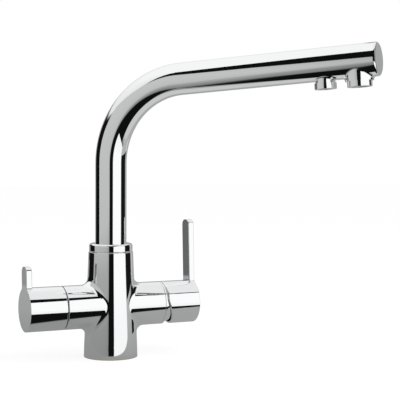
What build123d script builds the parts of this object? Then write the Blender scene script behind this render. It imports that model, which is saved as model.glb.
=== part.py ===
# Three way kitchen tap: a mixer lever on the right arm, a filtered water lever on the left arm and
# a swivel spout that carries the two waters, apart from each other, to two outlets under its tip.
# Sizes are in millimetres and degrees. The origin is the centre of the foot on the worktop, +Z is
# up, the arms lie along X with the mixer at +X, and the user stands at -Y.
from build123d import *
import os
from math import cos, radians, sin, sqrt, tan

os.makedirs("parts", exist_ok=True)

# ---------------------------------------------------------------- driving dimensions
# clearances
running_gap = 0.05  # radial, between a turning piece and its bore
loose_gap = 0.2  # between a sliding piece and its guide
seam_gap = 0.3  # the line seen between the body and a ring or handle beside it
edge_r = 0.4  # broken edges of the chromed pieces
soft_edge_r = 0.8  # rounder edges, on the levers and at the collar's foot

# body casting
foot_r = 24.1
neck_r = 20.05
foot_taper = 0.022  # how fast the column narrows at its foot and at its neck
neck_taper = 0.03
body_h = 94.5
arm_h = 46.0
arm_r = 19.5
filter_arm_end = 45.7
mixer_arm_end = 46.4
arm_rim_r = 0.6
blend_r = 7.0  # between the arms and the column
gasket_r = 21.0  # middle of the gasket in the foot
gasket_w = 3.0
gasket_t = 2.0
stud_r = 3.4  # M8 thread in the foot
stud_depth = 16.0
tail_r = 4.5  # M10x1 thread of each hose tail
tail_depth = 14.0
tail_x = 9.5  # hose tails, from the middle of the foot
port_y = 6.2  # hot and cold ways, each side of the middle
way_r = 2.6  # drilled water ways

# spout tube
tube_r = 14.0
tube_wall = 1.2
corner_h = 242.8  # where the axes of the riser and of the spout cross
rise = 4.3  # slope of the spout
bend_r = 74.0
spout_reach = 244.7  # from that crossing to the end face, along the spout
swing = 41.55  # of the spout at rest, from straight ahead towards the mixer
swing_limit = 90.0  # each way from straight ahead
end_cap_t = 2.4
end_cap_edge = 2.0
end_plug_l = 4.0

# swivel joint of the spout
collar_r = 19.5
collar_h = 7.3
collar_edge = 2.2
ring_seat_depth = 12.5  # of the collar's thread in the body
ring_thread_r = 16.5
slip_t = 0.8
flange_t = 3.0
socket_r = 13.5
socket_depth = 20.0  # below the shoulder
nipple_bore_r = 9.5
nipple_plug_l = 11.0
oring_t = 2.0
oring_inset = 3.2  # of each O-ring, from its end of the nipple
stop_drop = 9.4  # of the stop screw, below the shoulder
stop_groove_w = 3.6
stop_margin = 8.0  # of the stop groove, beyond the swing each way
stop_tip_r = 1.5
stop_tip_l = 1.8
grub_r = 2.1  # M5 grub screws
grub_key_r = 1.25
grub_key_depth = 2.0

# filtered water line inside the spout
hose_r = 3.0
hose_bore_r = 2.0
spigot_r = 3.0
spigot_bore_r = 1.5
spigot_thread_r = 3.5
spigot_thread_l = 4.5
spigot_hole_l = 8.0
spigot_flange_r = 5.0
spigot_flange_t = 2.0
spigot_l = 22.0
spigot_oring_t = 0.9
spigot_oring_drop = 6.0
sleeve_r = 5.4
sleeve_lift = 2.0  # above the spigot's flange
sleeve_web_t = 1.6
hose_grip_l = 6.0
sleeve_rib_w = 1.6
sleeve_rib_l = 10.0
sleeve_ribs = 3

# outlets under the spout
outlet_inset = 17.4  # main outlet, from the end face
outlet_boss_r = 11.9
outlet_boss_drop = 16.4  # its lower rim, from the axis of the spout
outlet_drop = 21.3
outlet_r = 10.3
outlet_thread_r = 9.0
outlet_bore_r = 8.0
outlet_pitch = 29.0  # between the two outlets
filter_boss_r = 8.2
filter_boss_drop = 15.5
filter_outlet_drop = 20.7
filter_outlet_r = 9.2
filter_thread_r = 7.0
filter_bore_r = 4.5
boss_blend_r = 2.0
filter_boss_blend_r = 1.2
ledge_t = 1.0  # metal left between the tube's bore and a washer
washer_t = 0.6
aerator_wall = 1.1
aerator_lip = 0.7
jet_r = 0.8
jet_pitch = 2.4
block_r = 6.5
block_top = 5.0
block_grip_l = 4.0

# handles
handle_end = 80.2  # from the body's axis to each end face
handle_wall = 2.7
handle_end_t = 3.7
lever_w = 14.2
lever_t = 5.3
lever_tip_r = 5.0
lever_foot_r = 4.0
filter_lip_gap = 0.6  # between the arm and the handle's lip
lever_lean = 2.7  # both levers lean back by this at rest
filter_lever_h = 37.7  # from the arm's axis to the tip
mixer_lever_h = 75.7
hub_r = 7.5
plug_r = 3.0
plug_t = 1.6

# filtered water valve, a quarter turn ceramic headwork
valve_floor = 24.0  # all places are distances from the body's axis
valve_thread_r = 10.0
valve_seat_t = 1.5
valve_disc_r = 7.4
valve_disc_t = 2.6
valve_port_r = 1.9
valve_port_at = 4.2
valve_tongue_w = 3.0
valve_tongue_t = 1.2
valve_nose_r = 8.6
valve_nose_at = 25.0
valve_thread_at = 35.5
valve_flange_t = 3.0
valve_window_w = 4.5
valve_hex = 22.0  # across flats
valve_hex_at = 40.0
valve_hex_t = 6.0
valve_neck_r = 7.0
valve_neck_end = 49.5
valve_recess_r = 14.0
valve_seal_t = 1.6
seat_r = 6.2
filter_way_drop = 6.5  # of the way from the valve to the spigot, below the socket's floor
filter_way_r = 1.8
stem_r = 4.5
stem_oring_t = 1.6
stem_oring_at = 43.0
clip_t = 0.8
clip_r = 6.2
clip_groove = 0.6
drive_r = 4.0
drive_sides = 12
drive_at = 51.4
spindle_end = 63.0
filter_hub_from = 52.5
filter_screw_at = 57.0

# mixer cartridge
cartridge_floor = 26.0
cartridge_r = 12.5
cartridge_cavity_gap = 0.3
cartridge_base_t = 3.5
cartridge_disc_t = 2.5
moving_disc_t = 3.0
moving_disc_r = 9.0
cartridge_wall = 1.1
hot_cold_up = 3.0  # hot and cold ports, above the arm's axis
mixed_down = 5.5  # mixed port, below it
base_port_r = 2.0
port_seal_r = 3.9
port_seal_t = 1.2
disc_port_r = 1.7
disc_port_y = 3.9  # ports of the fixed disc
disc_port_up = 3.6
disc_mixed_down = 4.4
pocket_r = 3.3  # round ends of the moving disc's pocket, the upper one on the arm's axis
pocket_l = 11.3
pocket_t = 1.5
driver_tongue_t = 0.8
carrier_r = 8.9
carrier_flange_at = 39.7
carrier_flange_t = 2.5
carrier_end = 54.0
carrier_slot_h = 14.0
driver_block_w = 8.0
driver_block_h = 9.0
housing_neck_r = 10.5
housing_neck_at = 43.5
housing_end = 46.4
pivot_at = 49.0
pivot_pin_r = 1.5
crank = 9.0  # from the pivot to the ball end that drives the disc
tilt_limit = 22.0
ball_r = 2.4
pivot_eye_r = 4.0
blade_w = 5.0
blade_h = 6.0
blade_neck_h = 3.2
stem_end = 68.0
dome_r = 17.5
dome_wall = 2.0
dome_end = 57.0
ring_band_end = 47.9
lip_gap = 1.2  # between the band and the lip, above the arm's axis
lip_kink = 2.5  # above the axis, where the lip starts to slope away
lip_slope = 18.0
lip_bend_r = 12.0
lip_edge_r = 1.0
mixer_bore_r = 17.9
mixer_hub_from = 58.0
mixer_screw_at = 63.0
nut_r = 16.0
nut_neck_r = 12.5
nut_bore_r = 9.3
nut_end = 50.0

# ---------------------------------------------------------------- planes and derived values
filter_arm = Plane(origin=(0, 0, arm_h), x_dir=(0, -1, 0), z_dir=(-1, 0, 0))
mixer_arm = Plane(origin=(0, 0, arm_h), x_dir=(0, 1, 0), z_dir=(1, 0, 0))
back = sin(radians(lever_lean))
upright = cos(radians(lever_lean))
# in the two lever planes y points along the lever, z out along the arm
filter_lever = Plane(origin=(0, 0, arm_h), x_dir=(0, -upright, back), z_dir=(-1, 0, 0))
mixer_lever = Plane(origin=(0, 0, arm_h), x_dir=(0, upright, -back), z_dir=(1, 0, 0))
# seen from the side: x out along the arm, y along the lever, z across it
mixer_side = Plane(origin=(0, 0, arm_h), x_dir=(1, 0, 0), z_dir=mixer_lever.x_dir * -1)

heading = radians(swing - 90)
spout_heading = Vector(cos(heading), sin(heading), 0)
spout_side = Plane(origin=(0, 0, 0), x_dir=spout_heading, z_dir=spout_heading.cross(Vector(0, 0, 1)))
spout_dir = spout_heading * cos(radians(rise)) + Vector(0, 0, sin(radians(rise)))
spout_down = spout_heading * sin(radians(rise)) - Vector(0, 0, cos(radians(rise)))
spout_corner = Vector(0, 0, corner_h)
outlet_at = spout_reach - outlet_inset
filter_outlet_at = outlet_at - outlet_pitch
spout_end = Plane(origin=spout_corner, x_dir=spout_down, z_dir=spout_dir)
outlet = Plane(origin=spout_corner + spout_dir * outlet_at, x_dir=spout_dir, z_dir=spout_down)
filter_outlet = Plane(
    origin=spout_corner + spout_dir * filter_outlet_at, x_dir=spout_dir, z_dir=spout_down
)

shoulder_h = body_h - ring_seat_depth
socket_floor_h = shoulder_h - socket_depth
stop_h = shoulder_h - stop_drop
filter_way_h = socket_floor_h - filter_way_drop
flange_h = shoulder_h + slip_t
tube_foot_h = flange_h + flange_t
skirt_h = tube_foot_h + slip_t
collar_foot_h = body_h + seam_gap
flange_r = ring_thread_r - seam_gap
sleeve_foot_h = socket_floor_h + spigot_flange_t + sleeve_lift
spigot_top_h = socket_floor_h + spigot_flange_t + spigot_l
nipple_r = socket_r - running_gap
nipple_foot_h = socket_floor_h + 1.0
tube_bore_r = tube_r - tube_wall
hose_foot_h = spigot_top_h + seam_gap + sleeve_web_t
port_h = arm_h + hot_cold_up
mixed_h = arm_h - mixed_down
mixed_x = tail_x - 1.5
disc_at = cartridge_floor + cartridge_base_t
moving_disc_at = disc_at + cartridge_disc_t
driver_at = moving_disc_at + moving_disc_t
housing_bore_r = cartridge_r - cartridge_wall
disc_travel = crank * radians(tilt_limit)
ball_at = pivot_at - crank
valve_disc_at = valve_floor + valve_seat_t
valve_moving_at = valve_disc_at + valve_disc_t
spindle_from = valve_moving_at + valve_disc_t
handle_bore_r = arm_r - handle_wall
filter_lip_at = filter_arm_end + filter_lip_gap
lip_at = ring_band_end + lip_gap


def rod(plane, start, end, radius, mode=Mode.ADD):
    """A round length along the z axis of a plane, between two distances from it."""
    with BuildSketch(plane.offset(start)) as disc:
        Circle(radius)
    extrude(disc.sketch, amount=end - start, mode=mode)


def pipe(plane, start, end, outer, inner, mode=Mode.ADD):
    """A round length with a hole through it."""
    with BuildSketch(plane.offset(start)) as ring:
        Circle(outer)
        Circle(inner, mode=Mode.SUBTRACT)
    extrude(ring.sketch, amount=end - start, mode=mode)


def drilling(start, end, radius):
    """A straight drilled way between two points."""
    way = Vector(*end) - Vector(*start)
    rod(Plane(origin=start, z_dir=way), 0, way.length, radius, mode=Mode.SUBTRACT)


def o_ring(plane, at, outer, thickness):
    """A round rubber ring about an axis, which reaches out to the given radius."""
    with Locations(plane.offset(at)):
        Torus(outer - thickness / 2, thickness / 2)


def spout_line(start_h, reach):
    """The axis of the spout, from a height on the riser to a distance along the slope."""
    tip = (reach * cos(radians(rise)), corner_h + reach * sin(radians(rise)))
    with BuildLine(spout_side) as line:
        FilletPolyline((0, start_h), (0, corner_h), tip, radius=bend_r)
    return line.wire()


def swept_rod(start_h, reach, radius, mode=Mode.ADD):
    """A round rod along the axis of the spout."""
    with BuildSketch(Plane.XY.offset(start_h)) as disc:
        Circle(radius)
    sweep(disc.sketch, path=spout_line(start_h, reach), mode=mode)


def lever_blade(plane, lever_h):
    """The flat lever and the disc that it grows from, at the end of a handle."""
    with BuildSketch(plane.offset(handle_end)) as blade_face:
        with Locations((0, lever_h / 2)):
            Rectangle(lever_w, lever_h)
        fillet(blade_face.vertices().group_by(Axis.Y)[-1], lever_tip_r)
    blade = extrude(blade_face.sketch, amount=-lever_t)
    inner_face = blade.faces().sort_by(Axis((0, 0, 0), plane.z_dir))[0]
    fillet(inner_face.edges().sort_by(Axis((0, 0, 0), plane.y_dir))[1:], soft_edge_r)
    with BuildSketch(plane.offset(handle_end)) as foot_face:
        add(blade_face.sketch_local)
        Circle(arm_r)
        fillet(foot_face.vertices().group_by(Axis.Y)[-3], lever_foot_r)
    extrude(foot_face.sketch, amount=soft_edge_r - lever_t)


def outlet_insert(plane, start, end, radius):
    """A round plastic insert with a field of small jets through it."""
    rings = int((radius - jet_r * 2) / jet_pitch)
    rod(plane, start, end, radius)
    rod(plane, start, end, jet_r, mode=Mode.SUBTRACT)
    for ring in range(1, rings + 1):
        with BuildSketch(plane.offset(start)) as jets:
            with PolarLocations(ring * jet_pitch, ring * 6):
                Circle(jet_r)
        extrude(jets.sketch, amount=end - start, mode=Mode.SUBTRACT)


def grub_screw(plane, start, end):
    """A headless screw along an axis, its hexagon key socket in the far end."""
    rod(plane, start, end, grub_r)
    with BuildSketch(plane.offset(end)) as key:
        RegularPolygon(grub_key_r, 6)
    extrude(key.sketch, amount=-grub_key_depth, mode=Mode.SUBTRACT)


# ---------------------------------------------------------------- body and its fixed pieces
with BuildPart() as body_casting:
    with BuildSketch(Plane.XZ):
        with BuildLine():
            Line((0, 0), (foot_r, 0))
            Spline(
                (foot_r, 0), (neck_r, body_h), tangents=[(-foot_taper, 1), (-neck_taper, 1)]
            )
            Line((neck_r, body_h), (0, body_h))
            Line((0, body_h), (0, 0))
        make_face()
    revolve(axis=Axis.Z)
    rod(filter_arm, 0, filter_arm_end, arm_r)
    rod(mixer_arm, 0, mixer_arm_end, arm_r)
    arm_joins = body_casting.edges().filter_by(
        lambda edge: edge.geom_type not in (GeomType.CIRCLE, GeomType.LINE)
        and edge.bounding_box().size.Y > arm_r
    )
    fillet(arm_joins, blend_r)
    arm_rims = body_casting.edges().group_by(Axis.X)
    fillet(arm_rims[0] + arm_rims[-1], arm_rim_r)
    fillet(body_casting.edges().group_by(Axis.Z)[-1], edge_r)
    # gasket groove, stud thread and the three hose tails in the foot
    pipe(
        Plane.XY, 0, gasket_t, gasket_r + gasket_w / 2, gasket_r - gasket_w / 2, mode=Mode.SUBTRACT
    )
    rod(Plane.XY, 0, stud_depth, stud_r, mode=Mode.SUBTRACT)
    for x, y in ((-tail_x, 0), (tail_x, -port_y), (tail_x, port_y)):
        drilling((x, y, 0), (x, y, tail_depth), tail_r)
    # socket of the swivel, with the thread of the collar above it and of the spigot below it
    rod(Plane.XY, shoulder_h, body_h, ring_thread_r, mode=Mode.SUBTRACT)
    rod(Plane.XY, socket_floor_h, shoulder_h, socket_r, mode=Mode.SUBTRACT)
    rod(
        Plane.XY, socket_floor_h - spigot_hole_l, socket_floor_h, spigot_thread_r,
        mode=Mode.SUBTRACT,
    )
    drilling((0, socket_r - stop_tip_l, stop_h), (0, foot_r, stop_h), grub_r)
    # seat of the filtered water valve and its two ways
    rod(filter_arm, valve_floor, valve_hex_at, valve_thread_r, mode=Mode.SUBTRACT)
    rod(filter_arm, valve_hex_at, filter_arm_end, valve_recess_r, mode=Mode.SUBTRACT)
    drilling((-tail_x, 0, tail_depth), (-tail_x, 0, arm_h), way_r)
    drilling((-valve_floor, 0, arm_h), (-tail_x, 0, arm_h), way_r)
    drilling((-valve_floor, 0, filter_way_h), (0, 0, filter_way_h), filter_way_r)
    # cavity of the cartridge, the hot and cold ways in and the mixed way out
    rod(
        mixer_arm, cartridge_floor, mixer_arm_end, cartridge_r + cartridge_cavity_gap,
        mode=Mode.SUBTRACT,
    )
    rod(mixer_arm, housing_neck_at, mixer_arm_end, nut_r, mode=Mode.SUBTRACT)
    for y in (-port_y, port_y):
        drilling((tail_x, y, tail_depth), (tail_x, y, port_h), way_r)
        drilling((tail_x, y, port_h), (cartridge_floor, y, port_h), way_r)
    drilling((mixed_x, 0, mixed_h), (cartridge_floor, 0, mixed_h), way_r)
    drilling((mixed_x, 0, mixed_h), (mixed_x, 0, socket_floor_h), way_r)
body_casting.part.label = "body_casting"
export_step(body_casting.part, "parts/body_casting.step")

with BuildPart() as foot_gasket:
    pipe(Plane.XY, 0, gasket_t, gasket_r + gasket_w / 2, gasket_r - gasket_w / 2)
foot_gasket.part.label = "foot_gasket"
export_step(foot_gasket.part, "parts/foot_gasket.step")

with BuildPart() as spout_collar:
    pipe(Plane.XY, skirt_h, collar_foot_h, ring_thread_r, tube_r + running_gap)
    pipe(Plane.XY, collar_foot_h, collar_foot_h + collar_h, collar_r, tube_r + running_gap)
    collar_rims = spout_collar.edges().filter_by(
        lambda edge: edge.geom_type == GeomType.CIRCLE and edge.radius == collar_r
    )
    fillet(collar_rims.sort_by(Axis.Z)[-1], collar_edge)
    fillet(collar_rims.sort_by(Axis.Z)[0], soft_edge_r)
spout_collar.part.label = "spout_collar"
export_step(spout_collar.part, "parts/spout_collar.step")

with BuildPart() as lower_slip_ring:
    pipe(Plane.XY, shoulder_h, flange_h, flange_r, socket_r)
lower_slip_ring.part.label = "lower_slip_ring"
export_step(lower_slip_ring.part, "parts/lower_slip_ring.step")

with BuildPart() as upper_slip_ring:
    pipe(Plane.XY, tube_foot_h, skirt_h, flange_r, tube_r + running_gap)
upper_slip_ring.part.label = "upper_slip_ring"
export_step(upper_slip_ring.part, "parts/upper_slip_ring.step")

stop_axis = Plane(origin=(0, 0, stop_h), z_dir=(0, 1, 0))
stop_head = neck_r - loose_gap
with BuildPart() as swivel_stop_screw:
    grub_screw(stop_axis, socket_r, stop_head)
    rod(stop_axis, socket_r - stop_tip_l, socket_r, stop_tip_r)
swivel_stop_screw.part.label = "swivel_stop_screw"
export_step(swivel_stop_screw.part, "parts/swivel_stop_screw.step")

# ---------------------------------------------------------------- filtered water spigot
spigot_groove_h = spigot_top_h - spigot_oring_drop
with BuildPart() as filter_spigot:
    rod(Plane.XY, socket_floor_h - spigot_thread_l, socket_floor_h, spigot_thread_r)
    with BuildSketch(Plane.XY.offset(socket_floor_h)) as spigot_flange:
        RegularPolygon(spigot_flange_r, 6)
    extrude(spigot_flange.sketch, amount=spigot_flange_t)
    rod(Plane.XY, socket_floor_h + spigot_flange_t, spigot_top_h, spigot_r)
    rod(
        Plane.XY, socket_floor_h - spigot_thread_l, spigot_top_h, spigot_bore_r,
        mode=Mode.SUBTRACT,
    )
    pipe(
        Plane.XY, spigot_groove_h - spigot_oring_t * 0.6, spigot_groove_h + spigot_oring_t * 0.6,
        spigot_r, spigot_r - spigot_oring_t, mode=Mode.SUBTRACT,
    )
filter_spigot.part.label = "filter_spigot"
export_step(filter_spigot.part, "parts/filter_spigot.step")

with BuildPart() as filter_spigot_oring:
    o_ring(Plane.XY, spigot_groove_h, spigot_r, spigot_oring_t)
filter_spigot_oring.part.label = "filter_spigot_oring"
export_step(filter_spigot_oring.part, "parts/filter_spigot_oring.step")

# ---------------------------------------------------------------- spout
boss_ledge = tube_bore_r + ledge_t
with BuildPart() as spout_tube:
    swept_rod(tube_foot_h, spout_reach - end_cap_t, tube_r)
    for boss, drop, radius, blend in (
        (outlet, outlet_boss_drop, outlet_boss_r, boss_blend_r),
        (filter_outlet, filter_boss_drop, filter_boss_r, filter_boss_blend_r),
    ):
        rod(boss, 0, drop, radius)
        boss_joins = spout_tube.edges(Select.LAST).filter_by(
            lambda edge: edge.geom_type not in (GeomType.CIRCLE, GeomType.LINE)
        )
        fillet(boss_joins, blend)
    swept_rod(tube_foot_h, spout_reach - end_cap_t, tube_bore_r, mode=Mode.SUBTRACT)
    rod(outlet, 0, boss_ledge, outlet_bore_r, mode=Mode.SUBTRACT)
    rod(outlet, boss_ledge, outlet_boss_drop, outlet_thread_r, mode=Mode.SUBTRACT)
    rod(filter_outlet, 0, boss_ledge, filter_bore_r, mode=Mode.SUBTRACT)
    rod(filter_outlet, boss_ledge, filter_boss_drop, filter_thread_r, mode=Mode.SUBTRACT)
spout_tube.part.label = "spout_tube"
export_step(spout_tube.part, "parts/spout_tube.step")

with BuildPart() as spout_end_cap:
    rod(spout_end, spout_reach - end_cap_t, spout_reach, tube_r)
    fillet(spout_end_cap.edges().sort_by(Axis((0, 0, 0), spout_dir))[-1], end_cap_edge)
    pipe(
        spout_end, spout_reach - end_cap_t - end_plug_l, spout_reach - end_cap_t,
        tube_bore_r, tube_bore_r - tube_wall,
    )
spout_end_cap.part.label = "spout_end_cap"
export_step(spout_end_cap.part, "parts/spout_end_cap.step")

oring_heights = (nipple_foot_h + oring_inset, shoulder_h - oring_inset)
groove_start = heading + radians(180 - swing_limit - stop_margin)
groove_dir = Vector(cos(groove_start), sin(groove_start), 0)
groove_side = Plane(origin=(0, 0, 0), x_dir=groove_dir, z_dir=groove_dir.cross(Vector(0, 0, 1)))
groove_depth = stop_tip_l + seam_gap
with BuildPart() as spout_nipple:
    rod(Plane.XY, nipple_foot_h, flange_h, nipple_r)
    rod(Plane.XY, flange_h, tube_foot_h, flange_r - loose_gap)
    rod(Plane.XY, tube_foot_h, tube_foot_h + nipple_plug_l, tube_bore_r)
    rod(
        Plane.XY, nipple_foot_h, tube_foot_h + nipple_plug_l, nipple_bore_r, mode=Mode.SUBTRACT
    )
    for height in oring_heights:
        pipe(
            Plane.XY, height - oring_t * 0.6, height + oring_t * 0.6,
            nipple_r, nipple_r - oring_t, mode=Mode.SUBTRACT,
        )
    with BuildSketch(groove_side) as stop_groove:
        with Locations((nipple_r - groove_depth / 2, stop_h)):
            Rectangle(groove_depth, stop_groove_w)
    revolve(
        stop_groove.sketch, axis=Axis.Z, revolution_arc=2 * (swing_limit + stop_margin),
        mode=Mode.SUBTRACT,
    )
spout_nipple.part.label = "spout_nipple"
export_step(spout_nipple.part, "parts/spout_nipple.step")

with BuildPart() as spout_nipple_orings:
    for height in oring_heights:
        o_ring(Plane.XY, height, nipple_r, oring_t)
spout_nipple_orings.part.label = "spout_nipple_orings"
export_step(spout_nipple_orings.part, "parts/spout_nipple_orings.step")

with BuildPart() as filter_tube_connector:
    rod(Plane.XY, sleeve_foot_h, hose_foot_h + hose_grip_l, sleeve_r)
    with BuildSketch(Plane.XY.offset(sleeve_foot_h + sleeve_lift)) as sleeve_ribs_face:
        with PolarLocations(nipple_bore_r / 2, sleeve_ribs):
            Rectangle(nipple_bore_r + sleeve_rib_w, sleeve_rib_w)
        Circle(nipple_bore_r, mode=Mode.INTERSECT)
    extrude(sleeve_ribs_face.sketch, amount=sleeve_rib_l)
    rod(
        Plane.XY, sleeve_foot_h, hose_foot_h - sleeve_web_t, spigot_r + running_gap,
        mode=Mode.SUBTRACT,
    )
    rod(
        Plane.XY, hose_foot_h - sleeve_web_t, hose_foot_h, spigot_bore_r, mode=Mode.SUBTRACT
    )
    rod(Plane.XY, hose_foot_h, hose_foot_h + hose_grip_l, hose_r, mode=Mode.SUBTRACT)
filter_tube_connector.part.label = "filter_tube_connector"
export_step(filter_tube_connector.part, "parts/filter_tube_connector.step")

hose_end = filter_outlet_at - block_r + block_grip_l
with BuildPart() as filter_tube:
    swept_rod(hose_foot_h, hose_end, hose_r)
    swept_rod(hose_foot_h, hose_end, hose_bore_r, mode=Mode.SUBTRACT)
filter_tube.part.label = "filter_tube"
export_step(filter_tube.part, "parts/filter_tube.step")

block_inlet = Plane(origin=filter_outlet.origin, z_dir=spout_dir * -1)
with BuildPart() as filter_outlet_block:
    rod(filter_outlet, -block_top, sqrt(tube_bore_r**2 - block_r**2), block_r)
    rod(filter_outlet, 0, boss_ledge, filter_bore_r)
    rod(filter_outlet, 0, boss_ledge, hose_bore_r, mode=Mode.SUBTRACT)
    rod(block_inlet, block_r - block_grip_l, block_r, hose_r, mode=Mode.SUBTRACT)
    rod(block_inlet, 0, block_r, hose_bore_r, mode=Mode.SUBTRACT)
filter_outlet_block.part.label = "filter_outlet_block"
export_step(filter_outlet_block.part, "parts/filter_outlet_block.step")

# ---------------------------------------------------------------- outlets
washer_end = boss_ledge + washer_t
aerator_bore_r = outlet_thread_r - aerator_wall
with BuildPart() as aerator_washer:
    pipe(outlet, boss_ledge, washer_end, outlet_thread_r, outlet_bore_r)
aerator_washer.part.label = "aerator_washer"
export_step(aerator_washer.part, "parts/aerator_washer.step")

with BuildPart() as aerator_housing:
    rod(outlet, washer_end, outlet_boss_drop, outlet_thread_r)
    rod(outlet, outlet_boss_drop, outlet_drop, outlet_r)
    fillet(aerator_housing.edges().sort_by(Axis((0, 0, 0), spout_down))[-1], edge_r)
    rod(outlet, washer_end, outlet_drop - aerator_lip, aerator_bore_r, mode=Mode.SUBTRACT)
    rod(outlet, washer_end, outlet_drop, aerator_bore_r - aerator_lip, mode=Mode.SUBTRACT)
aerator_housing.part.label = "aerator_housing"
export_step(aerator_housing.part, "parts/aerator_housing.step")

with BuildPart() as aerator_insert:
    outlet_insert(outlet, washer_end, outlet_drop - aerator_lip, aerator_bore_r)
aerator_insert.part.label = "aerator_insert"
export_step(aerator_insert.part, "parts/aerator_insert.step")

filter_jet_bore_r = filter_thread_r - aerator_wall
with BuildPart() as filter_outlet_washer:
    pipe(filter_outlet, boss_ledge, washer_end, filter_thread_r, filter_bore_r)
filter_outlet_washer.part.label = "filter_outlet_washer"
export_step(filter_outlet_washer.part, "parts/filter_outlet_washer.step")

with BuildPart() as filter_outlet_ring:
    rod(filter_outlet, washer_end, filter_boss_drop, filter_thread_r)
    rod(filter_outlet, filter_boss_drop, filter_outlet_drop, filter_outlet_r)
    fillet(filter_outlet_ring.edges().sort_by(Axis((0, 0, 0), spout_down))[-1], edge_r)
    rod(
        filter_outlet, washer_end, filter_outlet_drop - aerator_lip, filter_jet_bore_r,
        mode=Mode.SUBTRACT,
    )
    rod(
        filter_outlet, washer_end, filter_outlet_drop, filter_jet_bore_r - aerator_lip,
        mode=Mode.SUBTRACT,
    )
filter_outlet_ring.part.label = "filter_outlet_ring"
export_step(filter_outlet_ring.part, "parts/filter_outlet_ring.step")

with BuildPart() as filter_outlet_insert:
    outlet_insert(
        filter_outlet, washer_end, filter_outlet_drop - aerator_lip, filter_jet_bore_r
    )
filter_outlet_insert.part.label = "filter_outlet_insert"
export_step(filter_outlet_insert.part, "parts/filter_outlet_insert.step")

# ---------------------------------------------------------------- filtered water valve
valve_bore_r = valve_disc_r + running_gap
valve_bore_end = spindle_from + valve_flange_t + seam_gap / 3
with BuildPart() as filter_valve_body:
    rod(filter_arm, valve_nose_at, valve_thread_at, valve_nose_r)
    rod(filter_arm, valve_thread_at, valve_hex_at, valve_thread_r)
    with BuildSketch(filter_arm.offset(valve_hex_at)) as valve_hex_face:
        RegularPolygon(valve_hex / 2, 6, major_radius=False)
    extrude(valve_hex_face.sketch, amount=valve_hex_t)
    rod(filter_arm, valve_hex_at, valve_neck_end, valve_neck_r)
    rod(filter_arm, valve_nose_at, valve_bore_end, valve_bore_r, mode=Mode.SUBTRACT)
    rod(filter_arm, valve_bore_end, valve_neck_end, stem_r + running_gap, mode=Mode.SUBTRACT)
    with BuildSketch(filter_arm.offset(valve_moving_at)) as windows:
        Rectangle(valve_thread_r * 2, valve_window_w)
    extrude(windows.sketch, amount=valve_disc_t, mode=Mode.SUBTRACT)
    pipe(
        filter_arm, valve_hex_at - valve_seal_t, valve_hex_at,
        valve_thread_r, valve_thread_r - valve_seal_t, mode=Mode.SUBTRACT,
    )
filter_valve_body.part.label = "filter_valve_body"
export_step(filter_valve_body.part, "parts/filter_valve_body.step")

with BuildPart() as filter_valve_seal:
    o_ring(filter_arm, valve_hex_at - valve_seal_t / 2, valve_thread_r, valve_seal_t)
filter_valve_seal.part.label = "filter_valve_seal"
export_step(filter_valve_seal.part, "parts/filter_valve_seal.step")

with BuildPart() as filter_valve_seat:
    pipe(filter_arm, valve_floor, valve_disc_at, valve_disc_r, seat_r)
filter_valve_seat.part.label = "filter_valve_seat"
export_step(filter_valve_seat.part, "parts/filter_valve_seat.step")

with BuildPart() as filter_fixed_disc:
    rod(filter_arm, valve_disc_at, valve_moving_at, valve_disc_r)
    with BuildSketch(filter_arm.offset(valve_disc_at)) as fixed_ports:
        with Locations((-valve_port_at, 0), (valve_port_at, 0)):
            Circle(valve_port_r)
    extrude(fixed_ports.sketch, amount=valve_disc_t, mode=Mode.SUBTRACT)
filter_fixed_disc.part.label = "filter_fixed_disc"
export_step(filter_fixed_disc.part, "parts/filter_fixed_disc.step")

# the notches of the moving disc stand across the fixed ports while the valve is closed
with BuildPart() as filter_moving_disc:
    rod(filter_lever, valve_moving_at, spindle_from, valve_disc_r)
    with BuildSketch(filter_lever.offset(valve_moving_at)) as notches:
        with Locations((0, -valve_disc_r), (0, valve_disc_r)):
            SlotOverall((valve_disc_r - valve_port_at + valve_port_r) * 2, valve_port_r * 2, 90)
    extrude(notches.sketch, amount=valve_disc_t - valve_tongue_t, mode=Mode.SUBTRACT)
    with BuildSketch(filter_lever.offset(spindle_from)) as tongue_slot:
        Rectangle(valve_disc_r * 2, valve_tongue_w)
    extrude(tongue_slot.sketch, amount=-valve_tongue_t, mode=Mode.SUBTRACT)
filter_moving_disc.part.label = "filter_moving_disc"
export_step(filter_moving_disc.part, "parts/filter_moving_disc.step")

clip_at = valve_neck_end + seam_gap / 3
with BuildPart() as filter_spindle:
    rod(filter_lever, spindle_from, spindle_from + valve_flange_t, valve_disc_r)
    with BuildSketch(filter_lever.offset(spindle_from)) as tongue:
        Rectangle(valve_disc_r * 2, valve_tongue_w)
        Circle(valve_disc_r, mode=Mode.INTERSECT)
    extrude(tongue.sketch, amount=-valve_tongue_t)
    rod(filter_lever, spindle_from, drive_at, stem_r)
    with BuildSketch(filter_lever.offset(drive_at)) as drive:
        RegularPolygon(drive_r, drive_sides)
    extrude(drive.sketch, amount=spindle_end - drive_at)
    pipe(
        filter_lever, stem_oring_at - stem_oring_t * 0.6, stem_oring_at + stem_oring_t * 0.6,
        stem_r, stem_r - stem_oring_t, mode=Mode.SUBTRACT,
    )
    pipe(
        filter_lever, clip_at, clip_at + clip_t, stem_r, stem_r - clip_groove, mode=Mode.SUBTRACT
    )
filter_spindle.part.label = "filter_spindle"
export_step(filter_spindle.part, "parts/filter_spindle.step")

with BuildPart() as filter_spindle_oring:
    o_ring(filter_lever, stem_oring_at, stem_r, stem_oring_t)
filter_spindle_oring.part.label = "filter_spindle_oring"
export_step(filter_spindle_oring.part, "parts/filter_spindle_oring.step")

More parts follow.
